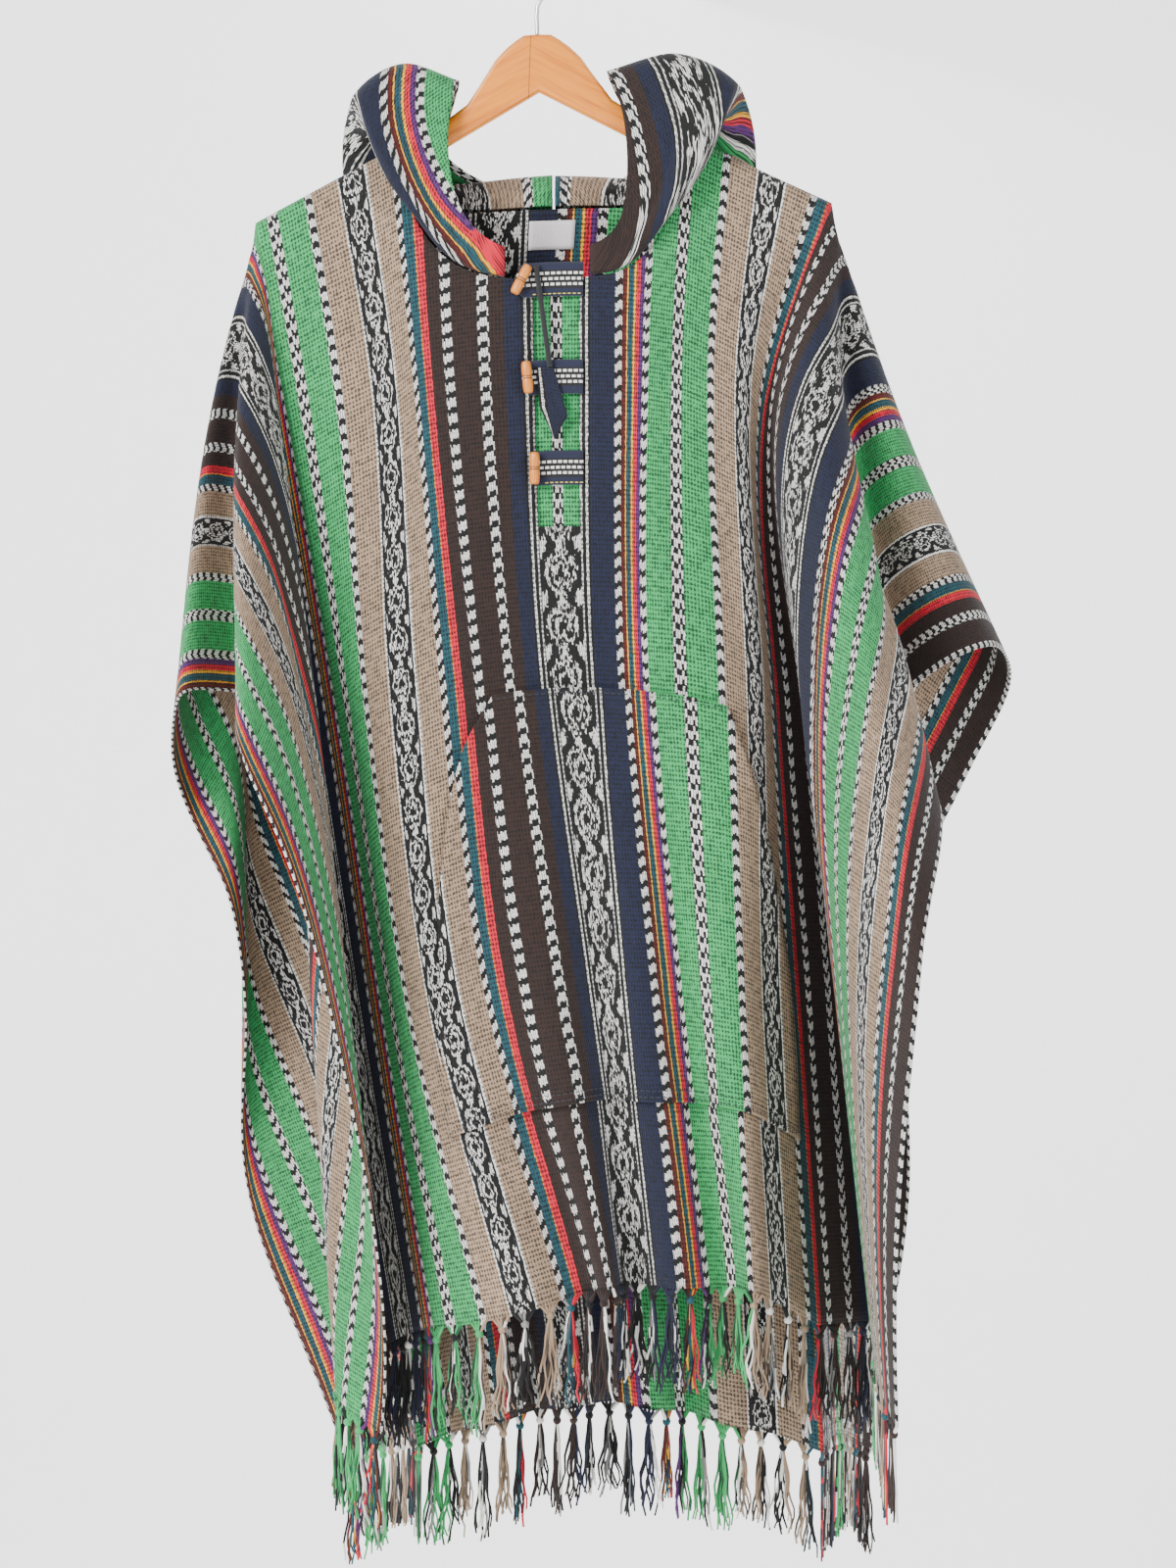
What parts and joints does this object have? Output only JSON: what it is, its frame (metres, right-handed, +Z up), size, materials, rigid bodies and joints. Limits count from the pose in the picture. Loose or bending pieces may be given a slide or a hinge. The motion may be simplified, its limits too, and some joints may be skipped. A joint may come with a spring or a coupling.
{
  "type": "hooded poncho on a wooden hanger",
  "caption": "Hooded, striped, fringed handwoven poncho with a toggle placket and a front pocket, hanging on a wooden hanger.",
  "frame": {"origin": "the underside of the hanger hook's crown, where it bears on a rail", "axes": "+Z up, +X to the viewer's right, and the garment's front faces -Y"},
  "size_m": [0.6936, 0.4958, 1.3861],
  "materials": {
    "striped_cloth": "brushed handwoven wool, striped",
    "green_cloth": "brushed handwoven wool",
    "navy_cloth": "woven, matte",
    "bamboo": "satin",
    "black_cord": "woven cord, matte",
    "label_cloth": "satin weave, blank",
    "fringe_yarn": "knotted yarn, matte",
    "hanger_wood": "lacquered",
    "hook_wire": "polished wire"
  },
  "bodies": {
    "root": {"back": "striped_cloth", "back_fringe": "fringe_yarn", "front": "striped_cloth", "front_fringe": "fringe_yarn", "hanger_arms": "hanger_wood", "hanger_hook": "hook_wire", "hood_left": "striped_cloth", "hood_right": "striped_cloth", "label": "label_cloth", "placket_underlay": "green_cloth", "pocket": "striped_cloth", "pull_cord": "black_cord", "pull_tab": "navy_cloth", "strap_1": "navy_cloth", "strap_2": "navy_cloth", "strap_3": "navy_cloth", "toggle_1": "bamboo", "toggle_2": "bamboo", "toggle_3": "bamboo"}
  },
  "joints": []
}
